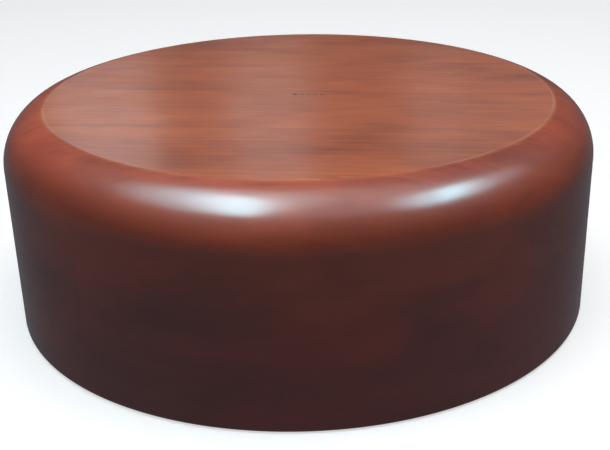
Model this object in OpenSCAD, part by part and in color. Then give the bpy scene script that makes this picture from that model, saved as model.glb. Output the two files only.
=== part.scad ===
// Deep wooden offering plate, turned from a block of six glued boards, with a felt pad inside.
// It lies rim down: the rim's face is at z = 0, +Z goes up through the base, and X runs along the
// grain. The origin is the centre of the rim's face. Millimetres.

/* [Bowl] */
// Outside diameter
bowl_d = 305; // [290:5:330]
// Height over all, from the rim's face to the base
bowl_h = 110; // [90:5:130]
// Thickness of the side wall
wall_t = 11; // [9:1:14]
// Thickness of the wood under the base
base_t = 14; // [12:1:18]

/* [Turned edges] */
// Radius of the big rounding between wall and base
shoulder_r = 26; // [20:1:30]
// Angle of the crisp line where that rounding meets the flat base
crease_deg = 10; // [4:1:16]
// Rounding at the rim's outer edge
rim_outer_r = 2.2; // [1:0.2:3]
// Rounding at the rim's inner edge
rim_inner_r = 3; // [1:0.5:4]
// Radius of the hollow's corner, between the wall and the inside floor
hollow_r = 24; // [16:1:30]

/* [Boards] */
// Width of the four middle boards, measured across the grain; the outer two take what is left
board_w = 62; // [50:1:65]

/* [Pad] */
// Ring of bare wood between the pad and the start of the hollow's corner
pad_gap = 3.5; // [2:0.5:8]
// Thickness of the felt
felt_t = 1; // [0.8:0.1:2]
// Thickness of the card inside the felt
card_t = 1.6; // [1:0.2:3]
// Width of the felt turned under the card's edge
hem_w = 15; // [8:1:20]

/* [Hidden] */
$fn = 144;

bowl_r = bowl_d / 2;
hollow_wall_r = bowl_r - wall_t;                    // radius of the hollow's wall
hollow_top = bowl_h - base_t;                       // height of the hollow's flat end
pad_r = hollow_wall_r - hollow_r - pad_gap;         // the pad lies wholly on the flat
card_r = pad_r - felt_t;
adhesive_r = card_r - hem_w - 0.5;                  // half a millimetre clear of the felt's hem
felt_face = hollow_top - felt_t - card_t - felt_t;  // the pad's face, where the coins land
// Where each board starts across the grain, from the front board to the back one
board_edges = [-bowl_r - 1, -2 * board_w, -board_w, 0, board_w, 2 * board_w, bowl_r + 1];
past = 1;                                           // how far a cut runs past a face

wood_colors = ["#6f3427", "#763829", "#72362a", "#7a3b2b", "#743728", "#6d3326"];

// Wood outside a quarter circle that turns towards +X and +Y, to be cut from a square corner
module corner_waste(r) {
    difference() {
        square(r + past);
        circle(r);
    }
}

module outside_outline() {
    difference() {
        square([bowl_r, bowl_h]);
        translate([bowl_r - shoulder_r, bowl_h - shoulder_r * cos(crease_deg)])
            corner_waste(shoulder_r);
        translate([bowl_r - rim_outer_r, rim_outer_r])
            mirror([0, 1]) corner_waste(rim_outer_r);
    }
}

module hollow_outline() {
    difference() {
        translate([0, -past]) square([hollow_wall_r, hollow_top + past]);
        translate([hollow_wall_r - hollow_r, hollow_top - hollow_r]) corner_waste(hollow_r);
    }
    // the waste that leaves the rim's inner edge round
    translate([hollow_wall_r + rim_inner_r, rim_inner_r])
        mirror([1, 0]) mirror([0, 1]) corner_waste(rim_inner_r);
}

module turned_bowl() {
    rotate_extrude()
        difference() {
            outside_outline();
            hollow_outline();
        }
}

// One board of the bowl, counted from 1 at the front
module bowl_board(i) {
    color(wood_colors[i - 1])
        intersection() {
            turned_bowl();
            translate([-bowl_r - past, board_edges[i - 1], -past])
                cube([bowl_d + 2 * past, board_edges[i] - board_edges[i - 1], bowl_h + 2 * past]);
        }
}

module bowl_board_1() { bowl_board(1); }
module bowl_board_2() { bowl_board(2); }
module bowl_board_3() { bowl_board(3); }
module bowl_board_4() { bowl_board(4); }
module bowl_board_5() { bowl_board(5); }
module bowl_board_6() { bowl_board(6); }

// Felt stretched over the card, with its edge turned under between card and wood
module felt_cover() {
    color("#5d1420")
        rotate_extrude()
            difference() {
                translate([0, felt_face]) square([pad_r, hollow_top - felt_face]);
                translate([pad_r - felt_t, felt_face + felt_t])
                    mirror([0, 1]) corner_waste(felt_t);
                translate([-past, felt_face + felt_t]) square([card_r + past, card_t]);
                translate([-past, felt_face + felt_t + card_t - past])
                    square([card_r - hem_w + past, felt_t + 2 * past]);
            }
}

module pad_card() {
    color("#8c8478")
        translate([0, 0, felt_face + felt_t])
            cylinder(h = card_t, r = card_r);
}

// Double-sided foam sheet that fills the space inside the hem and holds the pad to the wood
module pad_adhesive() {
    color("#e6e2d6")
        translate([0, 0, hollow_top - felt_t])
            cylinder(h = felt_t, r = adhesive_r);
}

bowl_board_1();
bowl_board_2();
bowl_board_3();
bowl_board_4();
bowl_board_5();
bowl_board_6();
felt_cover();
pad_card();
pad_adhesive();
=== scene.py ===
import math

import bmesh
import bpy
from mathutils import Matrix, Vector, noise


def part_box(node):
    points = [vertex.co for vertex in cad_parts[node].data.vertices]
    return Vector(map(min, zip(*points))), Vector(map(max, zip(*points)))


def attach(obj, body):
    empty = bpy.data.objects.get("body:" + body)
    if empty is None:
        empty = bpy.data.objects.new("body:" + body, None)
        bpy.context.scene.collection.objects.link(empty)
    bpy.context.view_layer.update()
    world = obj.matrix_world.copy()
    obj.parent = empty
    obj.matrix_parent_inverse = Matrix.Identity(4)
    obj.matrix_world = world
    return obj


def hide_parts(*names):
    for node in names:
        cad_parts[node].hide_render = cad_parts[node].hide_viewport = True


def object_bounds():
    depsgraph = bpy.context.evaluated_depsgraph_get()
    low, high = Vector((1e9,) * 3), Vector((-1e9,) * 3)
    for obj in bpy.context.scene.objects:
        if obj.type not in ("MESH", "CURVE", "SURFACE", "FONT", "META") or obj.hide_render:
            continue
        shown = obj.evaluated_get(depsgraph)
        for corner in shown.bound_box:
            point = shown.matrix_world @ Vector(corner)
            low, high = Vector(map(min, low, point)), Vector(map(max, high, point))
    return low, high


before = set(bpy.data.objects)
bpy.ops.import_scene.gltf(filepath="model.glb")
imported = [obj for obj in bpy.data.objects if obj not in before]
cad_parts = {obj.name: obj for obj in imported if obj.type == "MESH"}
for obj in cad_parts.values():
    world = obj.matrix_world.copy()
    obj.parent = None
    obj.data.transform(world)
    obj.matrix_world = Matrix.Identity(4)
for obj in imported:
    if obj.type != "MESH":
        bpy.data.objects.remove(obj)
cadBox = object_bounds()
mm = 0.001


# looking down at the upturned plate, a little round from the grain
cameraView = {
    "distance": 0.5477,      # from the turning axis, on the floor
    "height": 0.2671,
    "grainTurn": 6.0,        # degrees from the camera's right to the grain, looking down
    "lookRight": 3.47,       # degrees
    "lookDown": 24.01,
    "roll": -0.15,
    "lens": 63.4,
    "shiftAcross": -0.098,   # the frame sits a little off the lens's axis
    "shiftUp": 0.028,
    "clip": (0.02, 40),
}


def turned(point):
    # from the camera's own right, depth and height to the plate's frame
    return Matrix.Rotation(math.radians(cameraView["grainTurn"]), 4, "Z") @ Vector(point)


def addObject(name, data):
    added = bpy.data.objects.new(name, data)
    bpy.context.scene.collection.objects.link(added)
    return added


def makeCamera():
    data = bpy.data.cameras.new("camera")
    data.lens = cameraView["lens"]
    data.shift_x, data.shift_y = cameraView["shiftAcross"], cameraView["shiftUp"]
    data.clip_start, data.clip_end = cameraView["clip"]
    camera = addObject("camera", data)
    heading = math.radians(cameraView["grainTurn"] - cameraView["lookRight"])
    aim = (Matrix.Rotation(heading, 4, "Z")
           @ Matrix.Rotation(math.radians(90 - cameraView["lookDown"]), 4, "X")
           @ Matrix.Rotation(math.radians(cameraView["roll"]), 4, "Z"))
    place = turned((0, -cameraView["distance"], cameraView["height"]))
    camera.matrix_world = Matrix.Translation(place) @ aim
    bpy.context.scene.camera = camera


makeCamera()
print("camera placed")


class Tree:
    # the nodes of a material or of the world, with a short call for each kind that is used here
    def __init__(self, owner):
        owner.use_nodes = True
        self.nodes = owner.node_tree.nodes
        self.links = owner.node_tree.links

    def give(self, socket, value):
        if isinstance(value, bpy.types.NodeSocket):
            self.links.new(value, socket)
        else:
            socket.default_value = value

    def add(self, kind, **settings):
        node = self.nodes.new(kind)
        for name, value in settings.items():
            setattr(node, name, value)
        return node

    def math(self, operation, *values):
        node = self.add("ShaderNodeMath", operation=operation)
        for socket, value in zip(node.inputs, values):
            self.give(socket, value)
        return node.outputs[0]

    def swing(self, value, strength, total):
        # adds to a total how far a value lies from one half
        return self.math("MULTIPLY_ADD", self.math("SUBTRACT", value, 0.5), strength, total)

    def hypot(self, a, b):
        return self.math("SQRT", self.math("ADD", self.math("MULTIPLY", a, a), self.math("MULTIPLY", b, b)))

    def choose(self, factor, no, yes):
        node = self.add("ShaderNodeMix")
        for socket, value in ((node.inputs[0], factor), (node.inputs[2], no), (node.inputs[3], yes)):
            self.give(socket, value)
        return node.outputs[0]

    def ramp(self, value, low, high, lowOut=0.0, highOut=1.0, smooth=True):
        node = self.add("ShaderNodeMapRange", interpolation_type="SMOOTHSTEP" if smooth else "LINEAR")
        for socket, given in zip(node.inputs, (value, low, high, lowOut, highOut)):
            self.give(socket, given)
        return node.outputs[0]

    def split(self, vector):
        node = self.add("ShaderNodeSeparateXYZ")
        self.give(node.inputs[0], vector)
        return node.outputs

    def join(self, x, y, z):
        node = self.add("ShaderNodeCombineXYZ")
        for socket, value in zip(node.inputs, (x, y, z)):
            self.give(socket, value)
        return node.outputs[0]

    def vector(self, operation, first, second):
        node = self.add("ShaderNodeVectorMath", operation=operation)
        self.give(node.inputs[0], first)
        self.give(node.inputs[1], second)
        return node.outputs["Value" if operation == "DOT_PRODUCT" else "Vector"]


class MaterialTree(Tree):
    def __init__(self, name):
        self.material = bpy.data.materials.new(name)
        super().__init__(self.material)
        self.shader = self.nodes["Principled BSDF"]

    def set(self, **values):
        for name, value in values.items():
            self.give(self.shader.inputs[name.replace("_", " ")], value)

    def place(self):
        return self.add("ShaderNodeTexCoord").outputs["Object"]

    def noise(self, vector, scale, detail=2.0, roughness=0.5, distortion=0.0):
        node = self.add("ShaderNodeTexNoise")
        for name, value in (("Vector", vector), ("Scale", scale), ("Detail", detail),
                            ("Roughness", roughness), ("Distortion", distortion)):
            self.give(node.inputs[name], value)
        return node.outputs["Fac"]

    def cells(self, vector, scale):
        node = self.add("ShaderNodeTexVoronoi")
        self.give(node.inputs["Vector"], vector)
        self.give(node.inputs["Scale"], scale)
        return node.outputs

    def blend(self, amount, first, second, how="MIX"):
        node = self.add("ShaderNodeMix", data_type="RGBA", blend_type=how)
        self.give(node.inputs["Factor"], amount)
        self.give(node.inputs[6], first)
        self.give(node.inputs[7], second)
        return node.outputs[2]

    def bump(self, height, strength, distance, normal=None):
        node = self.add("ShaderNodeBump")
        self.give(node.inputs["Strength"], strength)
        self.give(node.inputs["Distance"], distance)
        self.give(node.inputs["Height"], height)
        if normal:
            self.links.new(normal, node.inputs["Normal"])
        return node.outputs[0]


def colour(red, green, blue):
    return (red, green, blue, 1.0)


# the bowl's turned shape, the same inside and out as the frame's boards
bowl = {
    "shoulder": 26 * mm,      # radius of the big rounding
    "crease": 10.0,           # degrees between that rounding and the flat where they meet
    "creaseSoften": 5 * mm,   # radius that the lacquer gives the crisp line
    "rimOuter": 2.2 * mm,
    "rimInner": 3 * mm,
    "wall": 11 * mm,
    "base": 14 * mm,
    "hollowCorner": 24 * mm,
    "boardWidth": 62 * mm,
    "turns": 400,             # faces round the lathe
    "arcStep": 3.0,           # degrees between rings on a rounding
    "creaseStep": 2.5,        # and on the crisp line
    "rimStep": 12,            # and at the rim
    "baseRings": (0, 30 * mm, 60 * mm, 90 * mm, 115 * mm),   # radii of the rings on the flat base
    "outerRings": (60 * mm, 35 * mm, 15 * mm),               # heights of those on the wall
    "innerRings": (25 * mm, 50 * mm),                        # heights of those inside
    "floorRings": (80 * mm, 40 * mm, 0),                     # radii of those on the hollow's flat
}
boardNames = [f"bowl_board_{i}" for i in range(1, 7)]
bowlRadius = cadBox[1].x
bowlHeight = cadBox[1].z
shoulderAxis = bowlRadius - bowl["shoulder"]
shoulderHeight = bowlHeight - bowl["shoulder"] * math.cos(math.radians(bowl["crease"]))
footRadius = shoulderAxis + bowl["shoulder"] * math.sin(math.radians(bowl["crease"]))
hollowRadius = bowlRadius - bowl["wall"]
hollowTop = bowlHeight - bowl["base"]


def arc(centre, radius, start, end, step=bowl["arcStep"]):
    # points and outward directions round an arc, angles in degrees from +radius towards +height
    count = max(2, math.ceil(abs(end - start) / step))
    for i in range(count + 1):
        angle = math.radians(start + (end - start) * i / count)
        along = Vector((math.cos(angle), math.sin(angle)))
        yield Vector(centre) + along * radius, along


def bowlOutline():
    # from the middle of the base, down the outside, across the rim and up into the hollow
    shoulder, crease, soften = bowl["shoulder"], bowl["crease"], bowl["creaseSoften"]
    outer, inner, corner = bowl["rimOuter"], bowl["rimInner"], bowl["hollowCorner"]
    tangent = soften * math.tan(math.radians(crease / 2))
    shoulderStart = 90 - crease - math.degrees(tangent / shoulder)
    rings = [(Vector((r, bowlHeight)), Vector((0, 1))) for r in bowl["baseRings"]]
    rings += arc((footRadius - tangent, bowlHeight - soften), soften, 90, 90 - crease, bowl["creaseStep"])
    rings += arc((shoulderAxis, shoulderHeight), shoulder, shoulderStart, 0)
    rings += [(Vector((bowlRadius, h)), Vector((1, 0))) for h in bowl["outerRings"]]
    rings += arc((bowlRadius - outer, outer), outer, 0, -90, bowl["rimStep"])
    rings += arc((hollowRadius + inner, inner), inner, -90, -180, bowl["rimStep"])
    rings += [(Vector((hollowRadius, h)), Vector((-1, 0))) for h in bowl["innerRings"]]
    for point, along in arc((hollowRadius - corner, hollowTop - corner), corner, 0, 90):
        rings.append((point, -along))
    rings += [(Vector((r, hollowTop)), Vector((0, -1))) for r in bowl["floorRings"]]
    return rings


def outwardAt(point, rings):
    # the turned surface's direction at a point, from the nearest stretch of the outline
    spot = Vector((math.hypot(point.x, point.y), point.z))
    best, found = 1e9, None
    for (a, aOut), (b, bOut) in zip(rings, rings[1:]):
        along = b - a
        share = min(max((spot - a).dot(along) / max(along.length_squared, 1e-18), 0), 1)
        away = (spot - a - along * share).length
        if away < best:
            best, found = away, aOut.lerp(bOut, share)
    found = found.normalized()
    around = Vector((point.x, point.y)).normalized() if spot.x > 1e-7 else Vector((1, 0))
    return Vector((found.x * around.x, found.x * around.y, found.y)).normalized()


def turnBlank(points, turns):
    # turns an outline of (radius, height) points about the axis
    mesh = bmesh.new()
    angles = [2 * math.pi * i / turns for i in range(turns)]
    loops = []
    for r, h in points:
        if r < 1e-9:
            loops.append([mesh.verts.new((0, 0, h))])
        else:
            loops.append([mesh.verts.new((r * math.cos(a), r * math.sin(a), h)) for a in angles])
    for upper, lower in zip(loops, loops[1:]):
        for i in range(turns):
            j = (i + 1) % turns
            corners = [upper[i % len(upper)], lower[i % len(lower)],
                       lower[j % len(lower)], upper[j % len(upper)]]
            mesh.faces.new(list(dict.fromkeys(corners)))    # a triangle where a loop is one point
    return mesh


def cutBoard(blank, low, high):
    # what a board keeps of the turned blank, with its two glued faces closed
    board = blank.copy()
    for edge, side in ((low, -1), (high, 1)):
        everything = board.verts[:] + board.edges[:] + board.faces[:]
        cut = bmesh.ops.bisect_plane(board, geom=everything, dist=1e-7, plane_co=(0, edge, 0),
                                     plane_no=(0, side, 0), clear_outer=True)
        rim = [e for e in cut["geom_cut"] if isinstance(e, bmesh.types.BMEdge)]
        if rim:
            bmesh.ops.triangle_fill(board, use_beauty=True, edges=rim, normal=(0, side, 0))
    bmesh.ops.recalc_face_normals(board, faces=board.faces[:])
    return board


def addPiece(name, mesh, material):
    data = bpy.data.meshes.new(name)
    mesh.to_mesh(data)
    mesh.free()
    piece = addObject(name, data)
    for face in data.polygons:
        face.use_smooth = True
    data.materials.append(material)
    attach(piece, "root")
    return piece


def smoothLikeTurned(piece, rings):
    # exact directions of the turned surface, so that a joint doesn't show as a crease in the gloss
    data = piece.data
    directions = [outwardAt(v.co, rings) for v in data.vertices]
    normals = []
    for face in data.polygons:
        acrossBoards = [data.vertices[v].co.y for v in face.vertices]
        glued = abs(face.normal.y) > 0.9999 and max(acrossBoards) - min(acrossBoards) < 1e-6
        for v in face.vertices:
            normals.append(face.normal.copy() if glued else directions[v])
    data.normals_split_custom_set(normals)


def makeBowl(wood):
    rings = bowlOutline()
    blank = turnBlank([point for point, _ in rings], bowl["turns"])
    past = 1 * mm    # an outer board's outer side is the turned wall, so it isn't cut
    for name in boardNames:
        low, high = (corner.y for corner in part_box(name))
        if name == boardNames[0]:
            low -= past
        if name == boardNames[-1]:
            high += past
        turnedName = name.replace("bowl_board", "turned_board")
        board = addPiece(turnedName, cutBoard(blank, low, high), wood)
        smoothLikeTurned(board, rings)
        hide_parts(name)
    blank.free()


# red mahogany stain under satin lacquer, with painted shade towards the rim and a painted highlight along
# the crisp line
stain = {
    "light": colour(0.55, 0.148, 0.044),
    "middle": colour(0.425, 0.096, 0.0265),
    "dark": colour(0.21, 0.039, 0.015),
    "rubbedAndGlint": colour(0.60, 0.27, 0.16),     # pale colour of stain rubbed thin, for scuffs and pale specks, and of the painted highlight along the crisp line
    "joint": colour(0.10, 0.022, 0.012),
    "figure": {     # scales along and across the grain, detail, roughness, distortion, strength
        "cloud": (12.0, 26.0, 3.0, 0.55, 0.4, 1.15),
        "fibre": (38.0, 440.0, 3.0, 0.6, 0.0, 0.28),
        "streak": (29.0, 130.0, 3.0, 0.55, 0.5, 0.58),
        "ribbon": (24.0, 60.0, 2.0, 0.5, 0.0, 0.25),
    },
    "boardJump": (0.371, 1.713, 0.917),     # how far apart in the tree two neighbouring boards grew
    "ringWidth": 5.5 * mm,
    "ringWander": 20 * mm,
    "heartAhead": (340 * mm, 60 * mm),      # the tree's heart in front of the axis, and how that varies
    "heartBelow": (-20 * mm, 90 * mm),      # and below the rim
    "lateWood": 0.10,                       # how much darker the late wood is
    "pores": 0.18,
    "outerBoards": 0.06,
    "outerReach": (55 * mm, 95 * mm),       # from the middle, where they start and are fully darker
    "mineral": 0.32,                        # strength of a dark streak
    "wallFigure": 0.26,                     # how much of the figure shows through the shade on the wall
    "jointStrength": (0.08, 0.75),          # where a glue line is lost, and where it is seen
    "jointWidth": (0.12 * mm, 0.42 * mm),   # from its middle, where it starts to fade and ends
    "shadeShoulder": colour(0.91, 0.66, 0.83),      # what the painted shade leaves of the colour on the shoulder
    "shadeRim": colour(0.50, 0.27, 0.60),   # and at the rim
    "shadeEdge": (0.3 * mm, 2.6 * mm),      # outside the crisp line, where it starts and is all there
    "edgeWander": 1.4 * mm,
    "shadeStart": 97 * mm,                  # heights where it starts to deepen and is deepest
    "shadeFull": 35 * mm,
    "patch": 60 * mm,                       # how far up and down those heights wander
    "endGrain": (95 * mm, 150 * mm),        # from the middle, where the boards' ends start and are full
    "endDarker": 17 * mm,                   # how much higher the shade sits there
    "endFuller": 24 * mm,                   # and how much sooner it is deepest
    "oneSided": 0.055,                      # how much heavier the painted shade is at one end
    "blotch": 0.35,                         # how uneven the shade is
    "glintRubWidth": (0.1 * mm, 1.3 * mm),       # from the crisp line, where the rub and its painted highlight start to fade and end
    "glintRubMiddle": 0.10,                      # how strong it is in the middle of the boards and at their ends
    "glintRubEnds": 0.50,
    "dust": ((0.55, 0.90), (0.60, 0.93)),   # size and rarity of the pale and of the dark specks
    "scuffs": (                             # middle and half length of short scuffs along the grain
        (16 * mm, -129.5 * mm, 6 * mm),
        (31 * mm, -126 * mm, 4 * mm),
        (88 * mm, 52 * mm, 1.5 * mm),
    ),
    "scuffStrength": 0.45,
    "lacquerRoughness": 0.21,
    "swell": 1.2 * mm,                      # how far the surface, the lacquer and its ripple rise
    "wave": 0.10 * mm,
    "ripple": 0.15 * mm,
}


class WoodTree(MaterialTree):
    # also knows where a point lies on the turned form and in its own board
    def __init__(self, name):
        super().__init__(name)
        self.point = self.place()
        self.x, self.y, self.z = self.split(self.point)
        self.fromAxis = self.hypot(self.x, self.y)
        self.onBase = self.ramp(self.z, bowlHeight - 3 * mm, bowlHeight - 1 * mm)
        self.shown = self.ramp(self.z, bowlHeight - 0.2 * mm, bowlHeight - 8 * mm, 1.0, stain["wallFigure"])
        # each board is its own piece of timber: shift the figure from board to board
        self.board = self.math("FLOOR", self.math("DIVIDE", self.y, bowl["boardWidth"]))
        jump = [self.math("MULTIPLY", self.board, step) for step in stain["boardJump"]]
        self.timber = self.vector("ADD", self.point, self.join(*jump))

    def figure(self, along, across, *character):
        # noise drawn out along the grain
        return self.noise(self.vector("MULTIPLY", self.timber, (along, across, across)), 1.0, *character)

    def patches(self, scales, *character):
        # noise that takes no notice of the boards
        return self.noise(self.vector("MULTIPLY", self.point, scales), 1.0, *character)

    def varied(self, step, start, typical):
        # a measure that differs from board to board
        middle, spread = typical
        phase = self.math("MULTIPLY_ADD", self.board, step, start)
        return self.math("MULTIPLY_ADD", self.math("SINE", phase), spread, middle)


def lateWood(t):
    # growth rings round a heart far in front: edge grain on the base, slash grain on the wall
    ringY = t.math("ADD", t.y, t.varied(2.4, 0.0, stain["heartAhead"]))
    ringZ = t.math("ADD", t.z, t.varied(1.7, 0.6, stain["heartBelow"]))
    radius = t.math("MULTIPLY_ADD", t.figure(2.2, 11.0, 2.0), stain["ringWander"], t.hypot(ringY, ringZ))
    ring = t.math("FRACT", t.math("DIVIDE", radius, stain["ringWidth"]))
    return t.math("MULTIPLY", t.ramp(ring, 0.45, 0.97), t.ramp(ring, 1.0, 0.97))


def bareWood(t, layers, pore):
    tone = 0.5
    for name, layer in layers.items():
        tone = t.swing(layer, stain["figure"][name][-1], tone)
    tone = t.math("MULTIPLY_ADD", lateWood(t), -stain["lateWood"], tone)
    tone = t.math("MULTIPLY_ADD", pore, -stain["pores"], tone)
    outer = t.ramp(t.math("ABSOLUTE", t.y), *stain["outerReach"], 0.0, -stain["outerBoards"])
    tone = t.math("ADD", tone, outer)
    tone = t.swing(tone, t.shown, 0.5)
    lower = t.blend(t.ramp(tone, 0.0, 0.5, smooth=False), stain["dark"], stain["middle"])
    wood = t.blend(t.ramp(tone, 0.5, 1.0, smooth=False), lower, stain["light"])
    # now and then a dark mineral streak runs along the grain
    mineral = t.ramp(t.figure(12.0, 150.0, 1.0), 0.66, 0.78, 0.0, stain["mineral"])
    return t.blend(t.math("MULTIPLY", mineral, t.shown), wood, stain["dark"])


def glueLines(t, wood):
    # dead straight hair lines, seen in some places and lost in others
    fromJoint = t.math("PINGPONG", t.y, bowl["boardWidth"] / 2)
    along = t.join(t.math("MULTIPLY", t.x, 9.0), t.math("MULTIPLY", t.board, 3.1), t.z)
    seen = t.ramp(t.noise(along, 1.0, 1.0), 0.40, 0.62, *stain["jointStrength"])
    joint = t.math("MULTIPLY", t.ramp(fromJoint, *stain["jointWidth"], 1.0, 0.0), seen)
    joint = t.math("MULTIPLY", joint, t.ramp(t.z, bowlHeight - 12 * mm, bowlHeight, 0.12, 1.0))
    return t.blend(joint, wood, stain["joint"])


def paintedShade(t, wood):
    # painted shade over everything outside the crisp line, deeper towards the rim and on the ends of the
    # boards
    edge = t.swing(t.noise(t.point, 34.0, 3.0), stain["edgeWander"], t.fromAxis)
    outside = t.ramp(edge, *(footRadius + reach for reach in stain["shadeEdge"]))
    height = t.swing(t.patches((7.0, 7.0, 12.0), 3.0, 0.55), stain["patch"], t.z)
    endGrain = t.ramp(t.math("ABSOLUTE", t.x), *stain["endGrain"])
    height = t.math("MULTIPLY_ADD", endGrain, -stain["endDarker"], height)
    height = t.math("MULTIPLY_ADD", t.x, stain["oneSided"], height)
    full = t.math("MULTIPLY_ADD", endGrain, stain["endFuller"], stain["shadeFull"])
    # painted shade, lightest on the shoulder and deepest at the rim
    shade = t.blend(t.ramp(height, stain["shadeStart"], full), stain["shadeShoulder"], stain["shadeRim"])
    blotch = t.ramp(t.patches((13.0, 13.0, 36.0), 3.0, 0.5, 0.6), 0.25, 0.75,
                    1 - stain["blotch"], 1 + stain["blotch"], smooth=False)
    shade = t.blend(1.0, shade, t.join(blotch, blotch, blotch), "MULTIPLY")
    shade = t.blend(outside, colour(1, 1, 1), shade)
    return t.blend(1.0, wood, shade, "MULTIPLY")


def rubGlintLine(t, wood):
    # the crisp line made lighter: partly stain rubbed thin, partly a painted highlight, stronger towards the
    # ends of the boards
    fromLine = t.math("ABSOLUTE", t.math("SUBTRACT", t.fromAxis, footRadius))
    rubGlint = t.math("MULTIPLY", t.ramp(fromLine, *stain["glintRubWidth"], 1.0, 0.0), t.onBase)
    rubGlint = t.math("MULTIPLY", rubGlint, t.ramp(t.noise(t.point, 42.0, 3.0), 0.35, 0.65, 0.15, 1.0))
    fromMiddle = t.math("ABSOLUTE", t.x)
    strength = t.ramp(fromMiddle, 40 * mm, 85 * mm, stain["glintRubMiddle"], stain["glintRubEnds"])
    return t.blend(t.math("MULTIPLY", rubGlint, strength), wood, stain["rubbedAndGlint"])


def dustAndScuffs(t, wood):
    for (size, rarity), tint in zip(stain["dust"], (stain["rubbedAndGlint"], stain["joint"])):
        shifted = t.vector("ADD", t.point, (size, 0, 0))    # so that the two kinds don't fall together
        cells = t.cells(t.vector("MULTIPLY", shifted, (70.0, 110.0, 70.0)), 1.0)
        near = t.ramp(cells["Distance"], 0.03, size * 0.09, 1.0, 0.0)
        chosen = t.math("GREATER_THAN", t.split(cells["Color"])[0], rarity)
        speck = t.math("MULTIPLY", t.math("MULTIPLY", near, chosen), t.onBase)
        wood = t.blend(speck, wood, tint)
    for scuffX, scuffY, halfLength in stain["scuffs"]:
        along = t.math("ABSOLUTE", t.math("SUBTRACT", t.x, scuffX))
        across = t.math("ABSOLUTE", t.math("SUBTRACT", t.y, scuffY))
        scuff = t.math("MULTIPLY", t.ramp(along, halfLength * 0.5, halfLength, 1.0, 0.0),
                       t.ramp(across, 0.3 * mm, 0.8 * mm, 1.0, 0.0))
        wood = t.blend(t.math("MULTIPLY", scuff, stain["scuffStrength"]), wood, stain["rubbedAndGlint"])
    return wood


# a short row of scorched dots near the middle of the base, the first one the biggest
marker = {
    "dots": 5,
    "pitch": 3.4 * mm,
    "radius": 0.85 * mm,
    "first": 2.2,            # the first dot's size against the others'
    "x": 4.5 * mm,
    "y": -5.0 * mm,
    "strength": 0.95,
    "scorch": colour(0.035, 0.014, 0.010),
}


def scorchedDots(t):
    pitch, radius = marker["pitch"], marker["radius"]
    halfRow = marker["dots"] * pitch / 2
    across = t.math("SUBTRACT", t.x, marker["x"])
    inRow = t.math("LESS_THAN", t.math("ABSOLUTE", across), halfRow)
    dotX = t.math("PINGPONG", t.math("ADD", across, halfRow), pitch / 2)
    dotX = t.math("SUBTRACT", dotX, pitch / 2)
    dotY = t.math("SUBTRACT", t.y, marker["y"])
    size = t.ramp(across, pitch - halfRow, -halfRow, 1.0, marker["first"])
    away = t.math("DIVIDE", t.hypot(dotX, dotY), size)
    dot = t.math("MULTIPLY", t.ramp(away, radius * 0.7, radius * 1.3, 1.0, 0.0), inRow)
    return t.math("MULTIPLY", dot, t.onBase)


def stainedWood():
    t = WoodTree("stained_wood")
    layers = {name: t.figure(*given[:-1]) for name, given in stain["figure"].items()}
    fibre = layers["fibre"]
    pore = t.ramp(t.figure(260.0, 2400.0, 1.0), 0.66, 0.74)
    dots = scorchedDots(t)
    wood = bareWood(t, layers, pore)
    wood = glueLines(t, wood)
    wood = paintedShade(t, wood)
    wood = rubGlintLine(t, wood)
    wood = dustAndScuffs(t, wood)
    wood = t.blend(t.math("MULTIPLY", dots, marker["strength"]), wood, marker["scorch"])

    # the wood's own surface shows its grain, and the lacquer over it only swells and ripples
    swell = t.bump(t.noise(t.point, 26.0, 1.0), 0.35, stain["swell"])
    wave = t.bump(t.noise(t.point, 75.0, 1.0), 0.30, stain["wave"], swell)
    film = t.bump(t.noise(t.point, 420.0, 2.0), 0.05, stain["ripple"], wave)
    relief = t.math("SUBTRACT", t.math("MULTIPLY", fibre, 0.3), pore)
    surface = t.bump(relief, 0.25, 0.06 * mm, swell)
    surface = t.bump(t.math("MULTIPLY", dots, -1.0), 0.8, 0.3 * mm, surface)
    t.set(Base_Color=wood, Roughness=t.ramp(fibre, 0.3, 0.7, 0.46, 0.58), IOR=1.5,
          Specular_IOR_Level=0.25, Coat_Weight=1.0, Coat_Roughness=stain["lacquerRoughness"],
          Coat_IOR=1.5, Normal=surface, Coat_Normal=film)
    return t.material


makeBowl(stainedWood())
print("bowl boards turned and stained")


# the pad in the hollow: felt stretched over a card, its edge gathered and turned under
felt = {
    "thickness": 1.0 * mm,
    "hem": 15 * mm,
    "fold": 1.3 * mm,         # outer radius of the fold at each edge
    "ease": 0.3 * mm,         # how far the sheet's other corners are eased
    "saved": 4 * mm,          # what the folds take off the flat sheet's width
    "gathers": 46,            # small tucks round the edge
    "gatherDepth": 0.45 * mm,
    "waver": 0.22 * mm,       # how far the stretched face is from flat
    "rings": 20,
    "turns": 552,
    "dark": colour(0.045, 0.004, 0.007),
    "light": colour(0.135, 0.012, 0.020),
}


def feltOutline(radius, face, back):
    # from the middle of the stretched face, round the edge, along the hem and back inside
    thick, fold, hem, ease = felt["thickness"], felt["fold"], felt["hem"], felt["ease"]
    inner = radius - thick
    hemEnd = inner - hem
    flatRings = [radius * share / felt["rings"] for share in range(felt["rings"])]
    outline = [(r, face) for r in flatRings if r < radius - fold]
    outline += [tuple(p) for p, _ in arc((radius - fold, face + fold), fold, -90, 0, 15)]
    outline += [tuple(p) for p, _ in arc((radius - fold, back - fold), fold, 0, 90, 15)]
    outline += [(radius - hem / 2, back), (hemEnd + ease, back), (hemEnd, back - thick / 2),
                (hemEnd + ease, back - thick), (inner - ease, back - thick),
                (inner, back - thick - ease), (inner, face + thick + ease), (inner - ease, face + thick)]
    outline += [(r, face + thick) for r in reversed(flatRings) if r < inner - 1 * mm]
    return outline


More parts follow.
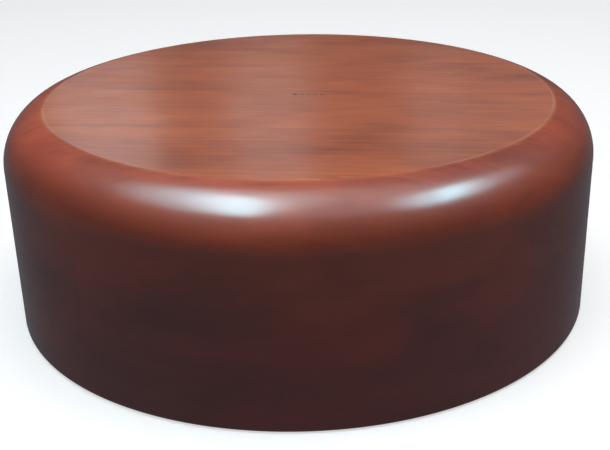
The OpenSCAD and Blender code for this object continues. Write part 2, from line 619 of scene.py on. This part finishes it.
def gatherFelt(mesh, radius, face):
    thick = felt["thickness"]
    inner = radius - thick
    for v in mesh.verts:
        r, angle = math.hypot(v.co.x, v.co.y), math.atan2(v.co.y, v.co.x)
        if r > inner + 0.01 * mm:
            uneven = noise.noise(Vector((math.cos(angle), math.sin(angle), 0)) * 3.0)
            tuck = 0.5 + 0.5 * math.sin(felt["gathers"] * angle + 4 * uneven)
            drawn = r - felt["gatherDepth"] * tuck * (r - inner) / thick * (0.6 + 0.5 * uneven)
            v.co.x, v.co.y = v.co.x * drawn / r, v.co.y * drawn / r
        elif v.co.z < face + 0.01 * mm:
            swell = 0.5 + 0.5 * noise.noise(Vector((v.co.x, v.co.y, 0)) * 24)
            v.co.z += felt["waver"] * swell * min(1, (radius - r) / (8 * mm))


def makeFelt(cloth):
    low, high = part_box("felt_cover")
    radius, face, back = high.x, low.z, high.z
    mesh = turnBlank(feltOutline(radius, face, back), felt["turns"])
    gatherFelt(mesh, radius, face)
    bmesh.ops.recalc_face_normals(mesh, faces=mesh.faces[:])
    cover = addPiece("stretched_felt", mesh, cloth)
    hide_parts("felt_cover")


def feltCloth():
    t = MaterialTree("dark_red_felt")
    place = t.place()
    tangle = t.noise(place, 520.0, 4.0, 0.7, 1.6)
    fuzz = t.noise(t.vector("MULTIPLY", place, (1.0, 1.6, 1.0)), 1900.0, 2.0, 0.6, 0.8)
    worn = t.noise(place, 24.0, 3.0, 0.6)
    tone = t.math("MULTIPLY_ADD", fuzz, 0.45, t.math("MULTIPLY", tangle, 0.55))
    tone = t.swing(worn, 0.35, tone)
    t.set(Base_Color=t.blend(t.ramp(tone, 0.25, 0.75), felt["dark"], felt["light"]), Roughness=0.95,
          Sheen_Weight=0.35, Sheen_Roughness=0.45, Sheen_Tint=colour(0.75, 0.25, 0.28),
          Specular_IOR_Level=0.15)
    matted = t.bump(tangle, 0.55, 0.5 * mm)
    t.set(Normal=t.bump(fuzz, 0.45, 0.2 * mm, matted))
    return t.material


makeFelt(feltCloth())
print("felt stretched over its card")


card = {
    "dark": colour(0.22, 0.205, 0.18),
    "light": colour(0.34, 0.32, 0.29),
    "fleck": colour(0.10, 0.09, 0.08),
    "pulpScale": 340.0,
    "fleckScale": 1300.0,
}
foam = {
    "hole": colour(0.58, 0.54, 0.46),
    "skin": colour(0.76, 0.73, 0.65),
    "cellScale": 1600.0,
}


def greyCard():
    t = MaterialTree("grey_card")
    pulp = t.noise(t.vector("MULTIPLY", t.place(), (1.0, 2.2, 1.0)), card["pulpScale"], 4.0, 0.65)
    fleck = t.ramp(t.noise(t.place(), card["fleckScale"], 1.0), 0.66, 0.74)
    board = t.blend(t.ramp(pulp, 0.3, 0.7), card["dark"], card["light"])
    t.set(Base_Color=t.blend(fleck, board, card["fleck"]), Roughness=0.9,
          Normal=t.bump(pulp, 0.3, 0.15 * mm))
    return t.material


def foamSheet():
    t = MaterialTree("foam_sheet")
    cell = t.ramp(t.cells(t.place(), foam["cellScale"])["Distance"], 0.1, 0.6)
    t.set(Base_Color=t.blend(cell, foam["hole"], foam["skin"]), Roughness=0.8,
          Normal=t.bump(cell, 0.5, 0.2 * mm))
    return t.material


def finishNode(name, material):
    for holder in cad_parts[name].material_slots:
        holder.link = "OBJECT"
        holder.material = material


finishNode("pad_card", greyCard())
finishNode("pad_adhesive", foamSheet())
print("card and foam finished")


# a pale floor, a broad ceiling wash, and soft lamps and panels for the lacquer to mirror
studio = {
    "floorSize": 12.0,
    "floorColour": colour(0.50, 0.50, 0.51),
    "floorGlow": 0.58,
    "backdrop": 0.85,
    "worldTint": colour(0.85, 0.90, 1.0),
    "fill": 0.09,            # light that reaches the wood from all round
    "mirrorFront": 0.28,     # what the lacquer mirrors low down in front and behind, level, and overhead
    "mirrorBack": 0.15,
    "mirrorLevel": 0.10,
    "mirrorAbove": 0.43,
    "ceiling": 1.32,
    "step": 10 * mm,         # each lamp hangs this much higher than the one before it
    "lampTint": (0.42, 0.86, 1.0),
    "washTint": (1.0, 0.97, 0.95),
    "lamps": [   # name, place on the ceiling, size, radiance, turn of its long side
        ("lamp_left", (-0.43, -0.54), (0.34, 1.00), 12.5, -14),
        ("lamp_left_rim", (-0.47, -0.50), (0.60, 1.12), 6.9, 0),
        ("lamp_left_outer", (-0.62, -0.34), (1.10, 1.22), 3.5, 0),
        ("lamp_left_tail", (-0.67, -0.29), (1.60, 1.36), 1.6, 0),
        ("lamp_right", (1.07, -0.33), (0.30, 0.70), 12.5, 35),
        ("lamp_right_rim", (1.08, -0.40), (0.62, 0.96), 6.6, 20),
        ("lamp_right_outer", (1.19, -0.42), (0.98, 1.22), 3.8, -20),
        ("lamp_right_tail", (1.20, -0.18), (1.00, 1.60), 1.8, -42),
        ("ceiling_glow", (0.10, -0.48), (2.40, 1.60), 0.9, 0),
        ("ceiling_wash", (0.05, -0.20), (1.30, 0.80), 7.2, 0),
    ],
    "panels": [  # name, degrees round to the right from straight behind the plate, width, radiance
        ("panel_left", -13.2, 0.28, 1.0),
        ("panel_middle", -2.2, 0.23, 0.63),
        ("panel_right", 9.2, 0.16, 0.44),
        ("panel_far", 15.4, 0.34, 0.25),
    ],
    "panelTint": (0.97, 0.98, 1.0),
    "panelAway": 2.4,
    "panelHeight": 1.05,     # of its middle
    "panelTall": 0.55,
    "beamTint": (1.0, 0.98, 0.95),
    "beamDepth": 0.6,
    "beamSize": 0.25,
    "beamRadiance": 0.9,
    "beamSpread": 4,         # degrees
}


def makeFloor():
    mesh = bmesh.new()
    bmesh.ops.create_grid(mesh, x_segments=2, y_segments=2, size=studio["floorSize"] / 2)
    data = bpy.data.meshes.new("floor")
    mesh.to_mesh(data)
    mesh.free()
    floor = addObject("floor", data)
    t = MaterialTree("pale_floor")
    t.set(Base_Color=studio["floorColour"], Roughness=0.8, Emission_Color=colour(1, 1, 1),
          Emission_Strength=studio["floorGlow"])
    # seen only from above, so that the hollow can be looked into from below
    oneSided = t.add("ShaderNodeMixShader")
    t.give(oneSided.inputs[0], t.add("ShaderNodeNewGeometry").outputs["Backfacing"])
    t.give(oneSided.inputs[1], t.shader.outputs[0])
    t.give(oneSided.inputs[2], t.add("ShaderNodeBsdfTransparent").outputs[0])
    t.give(t.nodes["Material Output"].inputs["Surface"], oneSided.outputs[0])
    data.materials.append(t.material)
    floor.location.z = -0.2 * mm
    floor.visible_shadow = False
    floor.visible_glossy = False
    floor.visible_diffuse = False


def addLamp(name, place, size, radiance, tint, shape):
    data = bpy.data.lights.new(name, "AREA")
    data.shape = shape
    data.size, data.size_y = size
    area = size[0] * size[1] * (math.pi / 4 if shape == "ELLIPSE" else 1)
    data.energy = radiance * math.pi * area
    data.color = tint
    lamp = addObject(name, data)
    lamp.location = turned(place)
    lamp.visible_camera = False
    return lamp


def makeLamps():
    # the brightest on each side hangs lowest, under the wider, dimmer ones that soften its edge
    for i, (name, (x, y), size, radiance, spin) in enumerate(studio["lamps"]):
        wash = name == "ceiling_wash"
        tint = studio["washTint"] if wash else studio["lampTint"]
        height = studio["ceiling"] + i * studio["step"]
        lamp = addLamp(name, (x, y, height), size, radiance, tint, "ELLIPSE")
        lamp.rotation_euler = (0, 0, math.radians(spin + cameraView["grainTurn"]))
        lamp.visible_diffuse = wash
        lamp.visible_glossy = not wash


def makePanels():
    away, height = studio["panelAway"], studio["panelHeight"]
    for name, azimuth, wide, radiance in studio["panels"]:
        angle = math.radians(azimuth)
        place = (away * math.sin(angle), away * math.cos(angle), height)
        panel = addLamp(name, place, (wide, studio["panelTall"]), radiance, studio["panelTint"], "RECTANGLE")
        towards = Vector((0, 0, bowlHeight - 10 * mm)) - panel.location
        panel.rotation_euler = towards.to_track_quat("-Z", "Y").to_euler()
        panel.visible_diffuse = False


def makeHollowBeam():
    # a narrow beam up into the hollow that the wall keeps off everything outside
    size = (studio["beamSize"], studio["beamSize"])
    beam = addLamp("hollow_beam", (0, 0, -studio["beamDepth"]), size, studio["beamRadiance"],
                   studio["beamTint"], "DISK")
    beam.rotation_euler = (math.pi, 0, 0)
    beam.data.spread = math.radians(studio["beamSpread"])
    beam.visible_glossy = False


def makeWorld():
    # the camera sees an even backdrop, the wood gets a faint fill, and the lacquer mirrors a dim room
    world = bpy.data.worlds.new("studio")
    bpy.context.scene.world = world
    t = Tree(world)
    direction = t.add("ShaderNodeTexCoord").outputs["Generated"]
    height = t.split(direction)[2]
    ahead = t.vector("DOT_PRODUCT", direction, turned((0, 1, 0)))
    low = t.ramp(ahead, -0.6, 0.55, studio["mirrorFront"], studio["mirrorBack"])
    low = t.choose(t.ramp(height, -0.25, 0.0), low, studio["mirrorLevel"])
    high = t.ramp(height, 0.35, 0.95, 0.0, studio["mirrorAbove"] - studio["mirrorLevel"])
    path = t.add("ShaderNodeLightPath")
    strength = t.choose(path.outputs["Is Glossy Ray"], studio["fill"], t.math("ADD", low, high))
    strength = t.choose(path.outputs["Is Camera Ray"], strength, studio["backdrop"])
    background = t.nodes["Background"]
    t.give(background.inputs["Color"], studio["worldTint"])
    t.give(background.inputs["Strength"], strength)


makeFloor()
makeWorld()
makeLamps()
makePanels()
makeHollowBeam()
bpy.context.scene.view_settings.view_transform = "Standard"
print("studio lit")
